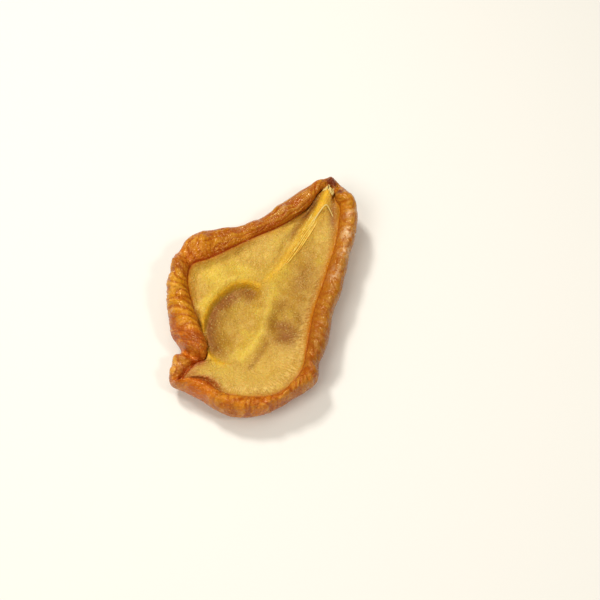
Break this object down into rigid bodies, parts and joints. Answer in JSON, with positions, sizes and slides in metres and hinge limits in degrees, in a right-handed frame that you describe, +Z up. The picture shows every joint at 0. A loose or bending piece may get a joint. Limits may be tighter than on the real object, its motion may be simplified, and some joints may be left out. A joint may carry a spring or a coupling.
{
  "type": "dried pear half",
  "caption": "Smoked dried pear half lying cut face up: pale sunken flesh with a strand of fibres, and a wrinkled amber rim rolled in over it.",
  "frame": {"origin": "on the surface it rests on, under the middle of its outline", "axes": "+Z up out of the cut face, +Y towards the neck"},
  "size_m": [0.0508, 0.0762, 0.0153],
  "materials": {
    "dried_pear": "pale velvety flesh inside a waxy, wrinkled amber rim and skin"
  },
  "bodies": {
    "root": {"dried_pear_half": "dried_pear"}
  },
  "joints": []
}
